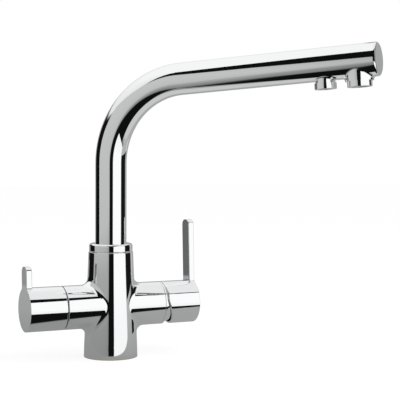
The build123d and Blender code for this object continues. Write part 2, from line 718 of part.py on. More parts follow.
with BuildPart() as filter_spindle_clip:
    pipe(filter_lever, clip_at, clip_at + clip_t, clip_r, stem_r - clip_groove)
    with BuildSketch(filter_lever.offset(clip_at)) as clip_mouth:
        with Locations((0, -clip_r)):
            Rectangle(stem_r, clip_r * 2 - stem_r)
    extrude(clip_mouth.sketch, amount=clip_t, mode=Mode.SUBTRACT)
filter_spindle_clip.part.label = "filter_spindle_clip"
export_step(filter_spindle_clip.part, "parts/filter_spindle_clip.step")

# ---------------------------------------------------------------- filtered water handle
cavity_end = handle_end - handle_end_t
filter_screw_axis = Plane(
    origin=filter_lever.offset(filter_screw_at).origin, z_dir=filter_lever.y_dir * -1
)
with BuildPart() as filter_handle:
    lever_blade(filter_lever, filter_lever_h)
    rod(filter_lever, filter_lip_at, handle_end, arm_r)
    face_rims = filter_handle.edges().group_by(Axis.X)
    fillet(face_rims[0], edge_r)
    fillet(face_rims[-1], soft_edge_r)
    rod(filter_lever, filter_lip_at, cavity_end, handle_bore_r, mode=Mode.SUBTRACT)
    rod(filter_lever, filter_hub_from, cavity_end, hub_r)
    with BuildSketch(filter_lever.offset(filter_hub_from)) as drive_socket:
        RegularPolygon(drive_r, drive_sides)
    extrude(
        drive_socket.sketch, amount=spindle_end + loose_gap - filter_hub_from, mode=Mode.SUBTRACT
    )
    rod(filter_screw_axis, 0, hub_r, grub_r, mode=Mode.SUBTRACT)
    rod(filter_screw_axis, hub_r, arm_r, plug_r, mode=Mode.SUBTRACT)
filter_handle.part.label = "filter_handle"
export_step(filter_handle.part, "parts/filter_handle.step")

plug_head = sqrt(arm_r**2 - plug_r**2)
with BuildPart() as filter_handle_screw:
    grub_screw(filter_screw_axis, drive_r, hub_r + loose_gap)
filter_handle_screw.part.label = "filter_handle_screw"
export_step(filter_handle_screw.part, "parts/filter_handle_screw.step")

with BuildPart() as filter_handle_plug:
    rod(filter_screw_axis, plug_head - plug_t, plug_head, plug_r)
filter_handle_plug.part.label = "filter_handle_plug"
export_step(filter_handle_plug.part, "parts/filter_handle_plug.step")

# ---------------------------------------------------------------- mixer cartridge, fixed pieces
base_ports = ((-port_y, hot_cold_up), (port_y, hot_cold_up), (0, -mixed_down))
disc_ports = (
    (-disc_port_y, disc_port_up), (disc_port_y, disc_port_up), (0, -disc_mixed_down)
)
cartridge_foot = mixer_arm.offset(cartridge_floor)
with BuildPart() as cartridge_base:
    rod(mixer_arm, cartridge_floor, disc_at, cartridge_r)
    with BuildSketch(cartridge_foot) as base_port_faces:
        with Locations(*base_ports):
            Circle(base_port_r)
    extrude(base_port_faces.sketch, amount=cartridge_base_t / 2, mode=Mode.SUBTRACT)
    with BuildSketch(cartridge_foot) as seal_grooves:
        with Locations(*base_ports):
            Circle(port_seal_r)
            Circle(port_seal_r - port_seal_t, mode=Mode.SUBTRACT)
    extrude(seal_grooves.sketch, amount=port_seal_t, mode=Mode.SUBTRACT)
    for base_port, disc_port in zip(base_ports, disc_ports):
        with BuildSketch(mixer_arm.offset(disc_at)) as crossing_way:
            with Locations(base_port, disc_port):
                Circle(disc_port_r)
            make_hull()
        extrude(crossing_way.sketch, amount=-cartridge_base_t / 2, mode=Mode.SUBTRACT)
cartridge_base.part.label = "cartridge_base"
export_step(cartridge_base.part, "parts/cartridge_base.step")

with BuildPart() as cartridge_base_seals:
    for y, z in base_ports:
        port_axis = Plane(origin=(cartridge_floor, y, arm_h + z), z_dir=(1, 0, 0))
        o_ring(port_axis, port_seal_t / 2, port_seal_r, port_seal_t)
cartridge_base_seals.part.label = "cartridge_base_seals"
export_step(cartridge_base_seals.part, "parts/cartridge_base_seals.step")

with BuildPart() as cartridge_fixed_disc:
    rod(mixer_arm, disc_at, moving_disc_at, housing_bore_r)
    with BuildSketch(mixer_arm.offset(disc_at)) as disc_port_faces:
        with Locations(*disc_ports):
            Circle(disc_port_r)
    extrude(disc_port_faces.sketch, amount=cartridge_disc_t, mode=Mode.SUBTRACT)
cartridge_fixed_disc.part.label = "cartridge_fixed_disc"
export_step(cartridge_fixed_disc.part, "parts/cartridge_fixed_disc.step")

flange_end = carrier_flange_at + carrier_flange_t
with BuildPart() as cartridge_housing:
    rod(mixer_arm, disc_at, housing_neck_at, cartridge_r)
    rod(mixer_arm, housing_neck_at, housing_end, housing_neck_r)
    rod(mixer_arm, disc_at, flange_end + seam_gap / 3, housing_bore_r, mode=Mode.SUBTRACT)
    rod(mixer_arm, flange_end, housing_end, carrier_r + running_gap, mode=Mode.SUBTRACT)
cartridge_housing.part.label = "cartridge_housing"
export_step(cartridge_housing.part, "parts/cartridge_housing.step")

with BuildPart() as mixer_retaining_nut:
    rod(mixer_arm, housing_neck_at, housing_end, nut_r)
    with BuildSketch(mixer_arm.offset(housing_end)) as nut_head:
        RegularPolygon(nut_neck_r, 6)
    extrude(nut_head.sketch, amount=nut_end - housing_end)
    rod(mixer_arm, housing_neck_at, housing_end, housing_neck_r, mode=Mode.SUBTRACT)
    rod(mixer_arm, housing_end, nut_end, nut_bore_r, mode=Mode.SUBTRACT)
mixer_retaining_nut.part.label = "mixer_retaining_nut"
export_step(mixer_retaining_nut.part, "parts/mixer_retaining_nut.step")

# the dome is round about the pivot, so that the handle's bore clears it at every tilt
with BuildPart() as mixer_cover_ring:
    with Locations(mixer_arm.offset(pivot_at)):
        Sphere(dome_r)
    rod(mixer_arm, housing_end, dome_end, arm_r, mode=Mode.INTERSECT)
    rod(mixer_arm, housing_end, ring_band_end, arm_r)
    with Locations(mixer_arm.offset(pivot_at)):
        Sphere(dome_r - dome_wall, mode=Mode.SUBTRACT)
mixer_cover_ring.part.label = "mixer_cover_ring"
export_step(mixer_cover_ring.part, "parts/mixer_cover_ring.step")

# ---------------------------------------------------------------- mixer cartridge, moving pieces
# the carrier turns in the housing; its slots let the driver slide and the stem tilt
carrier_slot_foot = driver_block_h / 2 + loose_gap
carrier_slot_top = driver_block_h / 2 + disc_travel + loose_gap
with BuildPart() as cartridge_carrier:
    rod(mixer_lever, carrier_flange_at, flange_end, housing_bore_r - running_gap)
    rod(mixer_lever, flange_end, carrier_end, carrier_r)
    with BuildSketch(mixer_lever.offset(carrier_flange_at)) as driver_slot:
        with Locations((0, (carrier_slot_top - carrier_slot_foot) / 2)):
            Rectangle(driver_block_w + loose_gap, carrier_slot_top + carrier_slot_foot)
    extrude(driver_slot.sketch, amount=carrier_flange_t, mode=Mode.SUBTRACT)
    with BuildSketch(mixer_lever.offset(carrier_flange_at)) as stem_slot:
        Rectangle(blade_w + loose_gap, carrier_slot_h)
    extrude(stem_slot.sketch, amount=carrier_end - carrier_flange_at, mode=Mode.SUBTRACT)
    with BuildSketch(mixer_side) as pin_hole:
        with Locations((pivot_at, 0)):
            Circle(pivot_pin_r)
    extrude(pin_hole.sketch, amount=carrier_r, both=True, mode=Mode.SUBTRACT)
cartridge_carrier.part.label = "cartridge_carrier"
export_step(cartridge_carrier.part, "parts/cartridge_carrier.step")

pin_half_l = sqrt(carrier_r**2 - pivot_pin_r**2)
with BuildPart() as cartridge_pin:
    with BuildSketch(mixer_side) as pin_face:
        with Locations((pivot_at, 0)):
            Circle(pivot_pin_r)
    extrude(pin_face.sketch, amount=pin_half_l, both=True)
cartridge_pin.part.label = "cartridge_pin"
export_step(cartridge_pin.part, "parts/cartridge_pin.step")

# the sliding disc is drawn closed, half its travel below the arm's axis
disc_middle = (0, -disc_travel / 2)
tongue_l = (moving_disc_r - disc_travel) * 2
with BuildPart() as cartridge_driver:
    with BuildSketch(mixer_lever.offset(driver_at)) as driver_face:
        with Locations(disc_middle):
            Circle(moving_disc_r)
    extrude(driver_face.sketch, amount=carrier_flange_at - loose_gap - driver_at)
    with BuildSketch(mixer_lever.offset(driver_at)) as block_face:
        Rectangle(driver_block_w, driver_block_h)
    extrude(block_face.sketch, amount=flange_end - seam_gap - driver_at)
    with BuildSketch(mixer_lever.offset(driver_at)) as driver_tongue:
        with Locations(disc_middle):
            Rectangle(tongue_l, valve_tongue_w)
    extrude(driver_tongue.sketch, amount=-driver_tongue_t)
    with BuildSketch(mixer_lever.offset(ball_at - ball_r - loose_gap)) as stem_pocket:
        Rectangle(blade_w + loose_gap, (ball_r + loose_gap) * 2)
    extrude(stem_pocket.sketch, amount=crank, mode=Mode.SUBTRACT)
cartridge_driver.part.label = "cartridge_driver"
export_step(cartridge_driver.part, "parts/cartridge_driver.step")

with BuildPart() as cartridge_moving_disc:
    with BuildSketch(mixer_lever.offset(moving_disc_at)) as moving_face:
        with Locations(disc_middle):
            Circle(moving_disc_r)
    extrude(moving_face.sketch, amount=moving_disc_t)
    with BuildSketch(mixer_lever.offset(moving_disc_at)) as pocket_face:
        with Locations((0, pocket_r - pocket_l / 2)):
            SlotOverall(pocket_l, pocket_r * 2, 90)
    extrude(pocket_face.sketch, amount=pocket_t, mode=Mode.SUBTRACT)
    with BuildSketch(mixer_lever.offset(driver_at)) as tongue_groove:
        with Locations(disc_middle):
            Rectangle(tongue_l, valve_tongue_w)
    extrude(tongue_groove.sketch, amount=-driver_tongue_t, mode=Mode.SUBTRACT)
cartridge_moving_disc.part.label = "cartridge_moving_disc"
export_step(cartridge_moving_disc.part, "parts/cartridge_moving_disc.step")

# ---------------------------------------------------------------- mixer lever
with BuildPart() as cartridge_stem:
    with BuildSketch(mixer_side) as stem_face:
        with Locations((ball_at, 0)):
            Circle(ball_r)
        with Locations(((ball_at + pivot_at) / 2, 0)):
            Rectangle(crank, blade_neck_h)
        with Locations((pivot_at, 0)):
            Circle(pivot_eye_r)
        with Locations(((pivot_at + stem_end) / 2, 0)):
            Rectangle(stem_end - pivot_at, blade_h)
        with Locations((pivot_at, 0)):
            Circle(pivot_pin_r + running_gap, mode=Mode.SUBTRACT)
    extrude(stem_face.sketch, amount=blade_w / 2, both=True)
cartridge_stem.part.label = "cartridge_stem"
export_step(cartridge_stem.part, "parts/cartridge_stem.step")

mixer_screw_axis = Plane(
    origin=mixer_lever.offset(mixer_screw_at).origin, z_dir=mixer_lever.y_dir * -1
)
lip_reach = arm_r + edge_r
lip_back = (lip_reach + lip_kink) * tan(radians(lip_slope))
with BuildPart() as mixer_handle:
    lever_blade(mixer_lever, mixer_lever_h)
    rod(mixer_lever, ring_band_end, handle_end, arm_r)
    # the lower lip is cut back, so that the handle can tilt out from the arm
    with BuildSketch(mixer_side) as lip_cut:
        with BuildLine():
            FilletPolyline(
                (lip_at, lip_reach), (lip_at, lip_kink), (lip_at + lip_back, -lip_reach),
                radius=lip_bend_r,
            )
            Polyline(
                (lip_at + lip_back, -lip_reach), (ring_band_end - edge_r, -lip_reach),
                (ring_band_end - edge_r, lip_reach), (lip_at, lip_reach),
            )
        make_face()
    extrude(lip_cut.sketch, amount=lip_reach, both=True, mode=Mode.SUBTRACT)
    lip_rim = mixer_handle.edges().filter_by(
        lambda edge: edge.bounding_box().max.X < lip_at + lip_back + edge_r
        and edge.geom_type != GeomType.LINE
    )
    fillet(lip_rim, lip_edge_r)
    face_rims = mixer_handle.edges().group_by(Axis.X)
    fillet(face_rims[-1], edge_r)
    rod(mixer_lever, ring_band_end, cavity_end, mixer_bore_r, mode=Mode.SUBTRACT)
    rod(mixer_lever, mixer_hub_from, cavity_end, hub_r)
    with BuildSketch(mixer_lever.offset(mixer_hub_from)) as stem_socket:
        Rectangle(blade_w, blade_h)
    extrude(
        stem_socket.sketch, amount=stem_end + loose_gap - mixer_hub_from, mode=Mode.SUBTRACT
    )
    rod(mixer_screw_axis, 0, hub_r, grub_r, mode=Mode.SUBTRACT)
    rod(mixer_screw_axis, hub_r, arm_r, plug_r, mode=Mode.SUBTRACT)
mixer_handle.part.label = "mixer_handle"
export_step(mixer_handle.part, "parts/mixer_handle.step")

with BuildPart() as mixer_handle_screw:
    grub_screw(mixer_screw_axis, blade_h / 2, hub_r + loose_gap)
mixer_handle_screw.part.label = "mixer_handle_screw"
export_step(mixer_handle_screw.part, "parts/mixer_handle_screw.step")

with BuildPart() as mixer_handle_plug:
    rod(mixer_screw_axis, plug_head - plug_t, plug_head, plug_r)
mixer_handle_plug.part.label = "mixer_handle_plug"
export_step(mixer_handle_plug.part, "parts/mixer_handle_plug.step")
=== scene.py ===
"""A three way kitchen tap in polished chrome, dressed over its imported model."""
from math import atan2, cos, degrees, radians, sin

import bmesh
import bpy
from bpy.props import FloatProperty, FloatVectorProperty, PointerProperty
from mathutils import Matrix, Vector

bl_info = {
    "name": "Three Way Kitchen Tap",
    "version": (1, 0, 0),
    "blender": (4, 5, 0),
    "location": "View3D > Sidebar > Tap",
    "description": "The chromed pieces, inner pieces and studio of a three way kitchen tap",
    "category": "Object",
}

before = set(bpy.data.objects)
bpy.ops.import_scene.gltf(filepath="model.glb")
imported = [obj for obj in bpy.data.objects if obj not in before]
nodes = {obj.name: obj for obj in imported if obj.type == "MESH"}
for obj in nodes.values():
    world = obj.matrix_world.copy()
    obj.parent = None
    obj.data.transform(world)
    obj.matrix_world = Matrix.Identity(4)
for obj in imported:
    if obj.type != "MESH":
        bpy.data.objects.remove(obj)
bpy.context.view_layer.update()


# ---------------------------------------------------------------- sizes and colours
class TapFinish(bpy.types.PropertyGroup):
    """Colours and gloss of the tap."""

    chrome: FloatVectorProperty(
        name="Chrome", description="Colour of the plated pieces", subtype="COLOR",
        size=3, min=0, max=1, default=(0.93, 0.94, 0.945),
    )
    chrome_haze: FloatProperty(
        name="Chrome Haze", description="How blurred the reflections are", subtype="FACTOR",
        min=0, max=1, default=0.012,
    )
    brass: FloatVectorProperty(
        name="Brass", description="Colour of the bare brass", subtype="COLOR",
        size=3, min=0, max=1, default=(0.82, 0.61, 0.31),
    )
    steel: FloatVectorProperty(
        name="Steel", description="Colour of the screws, the clip and the pins", subtype="COLOR",
        size=3, min=0, max=1, default=(0.62, 0.63, 0.64),
    )
    rubber: FloatVectorProperty(
        name="Rubber", description="Colour of the seals", subtype="COLOR",
        size=3, min=0, max=1, default=(0.018, 0.018, 0.019),
    )
    ceramic: FloatVectorProperty(
        name="Ceramic", description="Colour of the valve discs", subtype="COLOR",
        size=3, min=0, max=1, default=(0.86, 0.85, 0.82),
    )
    white_plastic: FloatVectorProperty(
        name="White Plastic", description="Colour of the moulded inner pieces", subtype="COLOR",
        size=3, min=0, max=1, default=(0.80, 0.80, 0.78),
    )
    grey_plastic: FloatVectorProperty(
        name="Grey Plastic", description="Colour of the plugs and outlet inserts",
        subtype="COLOR", size=3, min=0, max=1, default=(0.30, 0.31, 0.32),
    )


class TapStudio(bpy.types.PropertyGroup):
    """The lamp and the camera."""

    lens: FloatProperty(
        name="Lens", description="Focal length of the camera", unit="CAMERA", default=103.49
    )
    lamp_power: FloatProperty(
        name="Lamp", description="Power of the large soft lamp", unit="POWER", default=6.0
    )


# ---------------------------------------------------------------- node helpers
class Nodes:
    """Adds nodes to a tree, with their inputs linked or set."""

    def __init__(self, tree):
        self.tree = tree
        tree.nodes.clear()

    def feed(self, socket, value):
        """Links a socket to another node's output, or sets its value."""
        if isinstance(value, bpy.types.NodeSocket):
            self.tree.links.new(value, socket)
        else:
            socket.default_value = value

    def add(self, kind, inputs=None, **settings):
        node = self.tree.nodes.new(kind)
        for name, value in settings.items():
            setattr(node, name, value)
        for name, value in (inputs or {}).items():
            self.feed(node.inputs[name], value)
        return node

    def math(self, operation, *values):
        return self.add("ShaderNodeMath", dict(enumerate(values)), operation=operation).outputs[0]

    def place(self):
        """The place on the object, in its own space."""
        return self.add("ShaderNodeTexCoord").outputs["Object"]

    def axes(self, vector):
        split = self.add("ShaderNodeSeparateXYZ", {"Vector": vector})
        return [split.outputs[axis] for axis in "XYZ"]

    def radius(self, x, y):
        """The distance from the upright axis."""
        squares = self.math("ADD", self.math("MULTIPLY", x, x), self.math("MULTIPLY", y, y))
        return self.math("SQRT", squares)

    def step(self, value, start, end, low=0.0, high=1.0, smooth=True):
        """A step from low to high between two values."""
        node = self.add(
            "ShaderNodeMapRange",
            {"Value": value, "From Min": start, "From Max": end, "To Min": low, "To Max": high},
            interpolation_type="SMOOTHSTEP" if smooth else "LINEAR",
        )
        return node.outputs[0]

    def tone(self, below, above, mask):
        """A grey that goes from one tone to another with a mask."""
        node = self.add("ShaderNodeMix", {2: below, 3: above, 0: mask}, data_type="FLOAT")
        return node.outputs[0]

    def blend(self, first, second, mask):
        """A colour that goes from one to another with a mask."""
        node = self.add("ShaderNodeMix", {6: first, 7: second, 0: mask}, data_type="RGBA")
        return node.outputs[2]

    def mixed(self, mask, first, second):
        """One shader, or another where the mask is one."""
        return self.add("ShaderNodeMixShader", {0: mask, 1: first, 2: second}).outputs[0]

    def glow(self, colour, strength=1.0):
        light = self.add("ShaderNodeEmission", {"Color": colour, "Strength": strength})
        return light.outputs[0]

    def clear(self):
        return self.add("ShaderNodeBsdfTransparent").outputs[0]

    def rays(self):
        """Whether a ray comes from the camera, and whether from gloss or glass."""
        kinds = self.add("ShaderNodeLightPath").outputs
        return (kinds["Is Camera Ray"],
                self.math("MAXIMUM", kinds["Is Glossy Ray"], kinds["Is Transmission Ray"]))

    def grain(self, place, scale, detail=3.0, stretch=None):
        """Noise in the piece's own space, drawn out when stretched."""
        if stretch:
            place = self.add("ShaderNodeMapping", {"Vector": place, "Scale": stretch}).outputs[0]
        noise = self.add("ShaderNodeTexNoise", {"Vector": place, "Scale": scale, "Detail": detail})
        return noise.outputs["Fac"]

    def relief(self, height, depth, strength=1.0):
        """A bump of a depth in metres."""
        bump = {"Height": height, "Distance": depth, "Strength": strength}
        return self.add("ShaderNodeBump", bump).outputs[0]

    def ramp(self, value, stops):
        """Greys at places from zero to one, with straight changes between them."""
        node = self.add("ShaderNodeValToRGB", {"Fac": value})
        elements = node.color_ramp.elements
        while len(elements) > 1:
            elements.remove(elements[-1])
        elements[0].position = stops[0][0]
        elements[0].color = plain(stops[0][1])
        for position, level in stops[1:]:
            elements.new(position).color = plain(level)
        return node.outputs[0]

    def finish(self, kind, shader):
        """Ends the tree with a material's or a world's output."""
        self.add("ShaderNodeOutput" + kind, {"Surface": shader})


def new_material(name):
    """A material with nothing in it yet, and its nodes."""
    material = bpy.data.materials.new(name)
    material.use_nodes = True
    return material, Nodes(material.node_tree)


def plain(level):
    """The linear colour of a grey of 0 to 255."""
    level = level / 255
    level = level / 12.92 if level < 0.04045 else ((level + 0.055) / 1.055) ** 2.4
    return (level, level, level, 1)


# ---------------------------------------------------------------- studio
# Lengths are in metres and angles in degrees. The tones of cards are greys of 0 to 255.
FRONT = radians(-110.87)  # the camera's side of the tap, as an angle from +X
FORWARD = Vector((cos(FRONT), sin(FRONT), 0))
ASIDE = Vector((-sin(FRONT), cos(FRONT), 0))  # to the right in the picture

CAMERA_PLACE = (-0.3682, -0.9660, 0.1908)
CAMERA_TURN, CAMERA_PITCH, CAMERA_ROLL = -25.30, 87.25, 0.31
SENSOR_WIDTH = 36
LAMP_PLACE = (0.5, -0.6, 1.0)
LAMP_BACK = (0.5, -0.6, 0.9)  # the way that the lamp's back faces
LAMP_SIZE = 0.9

WHITE = (1, 1, 1, 1)
PLAIN_SKY = 0.75  # the world's light on matt surfaces
SKY_LEFT, SKY_RIGHT, SKY_LOW = 0.98, 0.86, 0.86
FLOOR_HALF = 4
FLOOR_GLOW, FLOOR_SHADE, FLOOR_MATT = 0.84, 0.2, 0.85
# Grey tones painted on the floor that only gloss sees, a painted reflection under the tap; the
# camera sees the floor white
PAINTED_REFLECTION_EDGE = (0.048, 0.056)  # the front edge that gloss shows, towards the camera
PAINTED_REFLECTION_END = (0.56, 0.6)
PAINTED_REFLECTION_HALF = 0.5
PAINTED_REFLECTION_TONES = ((-0.4, 164), (-0.28, 163), (-0.17, 151), (-0.02, 147), (0.06, 163), (0.16, 168),
               (0.45, 178))  # by how far to the right

CARD_FOOT = -0.4  # how far down the cards reach
CARD_REACH = 1.2  # from the tap to the bent cards
CARD_STEPS = 60
PIT_HALF = 1.3
BLACK = 15

PANEL_ENDS = ((0.006, -0.1165), (0.59, -0.0985))
PANEL_OUTLINE = ((0, -0.22), (0.584, -0.22), (0.584, 0.35), (0.26, 0.35), (0.15, 0.325),
                 (0.08, 0.285), (0, 0.27))
PANEL_TONES = (
    (-0.22, 45), (-0.16, 70), (-0.115, 120), (-0.07, 138), (-0.02, 143), (0.012, 149),
    (0.03, 161), (0.07, 169), (0.085, 181), (0.105, 192), (0.16, 196), (0.24, 200), (0.36, 198),
)
PANEL_DUSK = (0.36, 0.62, 0.78)  # where it starts, where it ends and how bright it is there

SOFTBOX_ENDS = ((0.687, 0.178), (0.20, 0.98))
SOFTBOX_OUTLINE = ((0, -0.15), (0.938, -0.15), (0.938, 0.86), (0.25, 0.64), (0.21, 0.5),
                   (0, 0.38))
SOFTBOX_TONES = ((-0.15, 252), (-0.02, 255), (0.05, 260), (0.88, 260))

FRONT_FLAG = (-62, 79, -2.2)  # start, end and foot
FRONT_TOP = (
    (-62, 0.9), (-59.4, 1.25), (-57.5, 1.42), (-52.5, 1.75), (-48, 1.85), (-20, 1.95),
    (40, 1.95), (48, 1.92), (54, 1.6), (58, 1.33), (79, 1.1),
)  # angle and height
# name, start, end, foot, top, tone, where it fades, distance from the tap
BENT_CARDS = (
    ("left_back_flag", -158, -93, CARD_FOOT, 0.68, 17, (0.55, 0.66), CARD_REACH),
    ("left_back_dim", -138.3, -136.6, CARD_FOOT, 0.12, 103, None, 1.15),
    ("left_back_grey", -148, -138.3, CARD_FOOT, 0.0, 145, None, 1.15),
    ("right_back_flag", 80, 129, -0.015, 1.1, 22, (0.9, 1.1), CARD_REACH),
    ("right_low_flag", 104, 122, 0.0, 0.03, 18, None, 0.2),
    ("right_grey", 76, 122, CARD_FOOT, 1.0, 182, (0.7, 1.0), 1.25),
)
# name, ends, width, top, tones low and high, where it fades
REAR_PAPERS = (
    ("rear_paper", ((-1.0, -1.2), (-1.0, 0.5)), 1.7, 0.6, (170, 170), (0.42, 0.6)),
    ("rear_tall_paper", ((-1.0, 0.5), (-1.0, 1.2)), 0.7, 1.1, (172, 182), (0.85, 1.1)),
)

# A glowing card under the spout that only gloss sees: it paints a highlight strip along the
# spout's underside
UNDER_HEIGHT = 0.13
UNDER_HIGHLIGHT_TONE = 203
UNDER_CORNERS = ((0.02, 0), (-0.08, 0.03), (0.02, 0.24), (0.105, 0.23))
UNDER_SLANT = (0.45, 0.7)  # seen no more when it is met more flatly than this

# Gloss-only cards round the spout's end cap: a painted grey reflection on its face and a painted
# dark reflection round its edge
END_LIGHT_FORWARD = 0.075
END_LIGHT_CORNERS = ((0.21, 0.225), (0.32, 0.225), (0.32, 0.31), (0.21, 0.31))
END_LIGHT_TONES = ((0.23, 160), (0.30, 172))
END_EDGE = (0.1254, 0.2098)  # the near edge of the spout's end cap
END_SHADE_REACH = 0.012
END_SHADE_TURNS = range(-28, 82, 12)
END_SHADE_SPAN = (0.2555, 0.29)
END_SHADE_TONE = 18


def spot(forward, aside, height=0.0):
    """A place in the studio, from the tap towards the camera, to the right and up."""
    return FORWARD * forward + ASIDE * aside + Vector((0, 0, height))


def around(reach, angle):
    """A place on the floor, by its distance and its angle from the camera's side."""
    return spot(reach * cos(radians(angle)), reach * sin(radians(angle)))


def make_world():
    """White behind everything, a little greyer in gloss up on the right and low down."""
    world = bpy.data.worlds.new("studio")
    world.use_nodes = True
    n = Nodes(world.node_tree)
    from_camera, shiny = n.rays()
    way = n.add("ShaderNodeTexCoord").outputs["Generated"]
    aside = n.add("ShaderNodeVectorMath", {0: way, 1: ASIDE}, operation="DOT_PRODUCT")
    up = n.axes(way)[2]
    sky = n.math("MULTIPLY", n.step(aside.outputs["Value"], -0.05, 0.25, SKY_LEFT, SKY_RIGHT),
                 n.step(up, 0.3, 0.75, SKY_LOW, 1.0))
    strength = n.tone(n.tone(PLAIN_SKY, 1.0, from_camera), sky, shiny)
    light = n.add("ShaderNodeBackground", {"Color": WHITE, "Strength": strength})
    n.finish("World", light.outputs[0])
    bpy.context.scene.world = world


def stage_object(name, bm, material):
    """An object of the studio, which isn't part of the tap."""
    mesh = bpy.data.meshes.new(name)
    bm.to_mesh(mesh)
    bm.free()
    mesh.materials.append(material)
    placed = bpy.data.objects.new(name, mesh)
    bpy.context.scene.collection.objects.link(placed)
    return placed


def stage_card(name, bm, paper):
    """An object of the studio that only gloss shows."""
    placed = stage_object(name, bm, paper)
    for kind in ("camera", "diffuse", "shadow", "transmission"):
        setattr(placed, "visible_" + kind, False)


def by_height(n, height, tones):
    """A grey that goes through tones given by height."""
    low, high = tones[0][0], tones[-1][0] + 1e-6
    unit = n.step(height, low, high, smooth=False)
    return n.ramp(unit, [((z - low) / (high - low), level) for z, level in tones])


def card_paper(name, tones, fade=None, dusk=None):
    """Paper with a tone that goes by height, which can fade out between two heights.

    With a dusk it darkens towards its far end, by its distance from the tap."""
    material, n = new_material(name)
    place = n.place()
    height = n.axes(place)[2]
    strength = 1.0
    if dusk:
        reach = n.add("ShaderNodeVectorMath", {0: place}, operation="LENGTH").outputs["Value"]
        strength = n.step(reach, dusk[0], dusk[1], 1.0, dusk[2])
    light = n.glow(by_height(n, height, tones), strength)
    if fade:
        light = n.mixed(n.step(height, *fade), light, n.clear())
    n.finish("Material", light)
    return material


def even_paper(name, level, fade=None):
    return card_paper(name, ((0, level), (1, level)), fade)


def flat_card(name, ends, outline, paper):
    """A flat card over a line on the floor, with its outline in metres along it and up."""
    bm = bmesh.new()
    start, end = (spot(*point) for point in ends)
    along = (end - start).normalized()
    edge = [bm.verts.new(start + along * run + Vector((0, 0, rise))) for run, rise in outline]
    bm.faces.new(edge)
    stage_card(name, bm, paper)


def bent_card(name, start, end, foot, top, paper, reach=CARD_REACH):
    """A card bent round the tap, between two angles from the camera's side. Its upper
    edge is level, or goes through heights given by angle."""
    unset = 1.0  # the height of the upper edge until it is set
    bm = bmesh.new()
    first = around(reach, start)
    ends = [bm.verts.new(first + Vector((0, 0, height))) for height in (foot, unset)]
    bmesh.ops.spin(
        bm, geom=[*ends, bm.edges.new(ends)], axis=(0, 0, 1), cent=(0, 0, 0),
        angle=radians(end - start), steps=CARD_STEPS,
    )
    for vert in bm.verts:
        if vert.co.z == unset:
            angle = degrees(atan2(vert.co.dot(ASIDE), vert.co.dot(FORWARD)))
            vert.co.z = top if isinstance(top, float) else height_at(top, angle)
    stage_card(name, bm, paper)


def height_at(points, angle):
    """The height of an edge at an angle, between the points that are given."""
    for (a, low), (b, high) in zip(points, points[1:]):
        if angle <= b:
            return low + (high - low) * max(0, angle - a) / (b - a)
    return points[-1][1]


def one_sided_card(name, corners, facing, colour, slant=None):
    """A small glowing card that only gloss sees, painting a reflection where gloss meets it, clear
    from behind, and from too flat an angle.
    """
    material, n = new_material(name)
    light = n.glow(colour(n))
    unseen = n.add("ShaderNodeNewGeometry").outputs["Backfacing"]
    if slant:
        flat = n.add("ShaderNodeLayerWeight", {"Blend": 0.5}).outputs["Facing"]
        unseen = n.math("MAXIMUM", unseen, n.step(flat, *slant))
    n.finish("Material", n.mixed(unseen, light, n.clear()))
    bm = bmesh.new()
    face = bm.faces.new([bm.verts.new(corner) for corner in corners])
    bm.normal_update()
    if face.normal.dot(facing) < 0:
        face.normal_flip()
    stage_card(name, bm, material)


def make_cards():
    """The papers and black flags round the tap, from the left of the picture to the right."""
    flat_card("left_panel", PANEL_ENDS, PANEL_OUTLINE,
              card_paper("left_panel", PANEL_TONES, dusk=PANEL_DUSK))
    flat_card("right_softbox", SOFTBOX_ENDS, SOFTBOX_OUTLINE,
              card_paper("right_softbox", SOFTBOX_TONES))
    black = even_paper("black_flag", BLACK)
    bent_card("front_flag", *FRONT_FLAG, FRONT_TOP, black)
    for name, start, end, foot, top, level, fade, reach in BENT_CARDS:
        bent_card(name, start, end, foot, top, even_paper(name, level, fade), reach)
    for name, ends, width, top, (low, high), fade in REAR_PAPERS:
        outline = ((0, CARD_FOOT), (width, CARD_FOOT), (width, top), (0, top))
        flat_card(name, ends, outline, card_paper(name, ((0, low), (1, high)), fade))
    bm = bmesh.new()
    bmesh.ops.create_grid(bm, x_segments=1, y_segments=1, size=PIT_HALF)
    bmesh.ops.translate(bm, verts=bm.verts, vec=(0, 0, CARD_FOOT))
    stage_card("dark_pit", bm, black)
    # painted highlight along the spout's underside
    one_sided_card(
        "under_spout_highlight", [spot(*corner, UNDER_HEIGHT) for corner in UNDER_CORNERS],
        Vector((0, 0, 1)), lambda n: plain(UNDER_HIGHLIGHT_TONE), UNDER_SLANT,
    )


def make_end_cards():
    """Cards that only gloss sees: a grey one that paints a reflection on the face of the spout's
    end cap, and a black one that paints a dark reflection round its edge.
    """
    one_sided_card(
        "end_light", [spot(END_LIGHT_FORWARD, *corner) for corner in END_LIGHT_CORNERS],
        FORWARD, lambda n: by_height(n, n.axes(n.place())[2], END_LIGHT_TONES),
    )
    bm = bmesh.new()
    points = [spot(*END_EDGE) + around(END_SHADE_REACH, turn) for turn in END_SHADE_TURNS]
    low, high = ([bm.verts.new(point + Vector((0, 0, rise))) for point in points]
                 for rise in END_SHADE_SPAN)
    for index in range(len(points) - 1):
        bm.faces.new((low[index], low[index + 1], high[index + 1], high[index]))
    stage_card("end_shade", bm, even_paper("end_shade", END_SHADE_TONE))


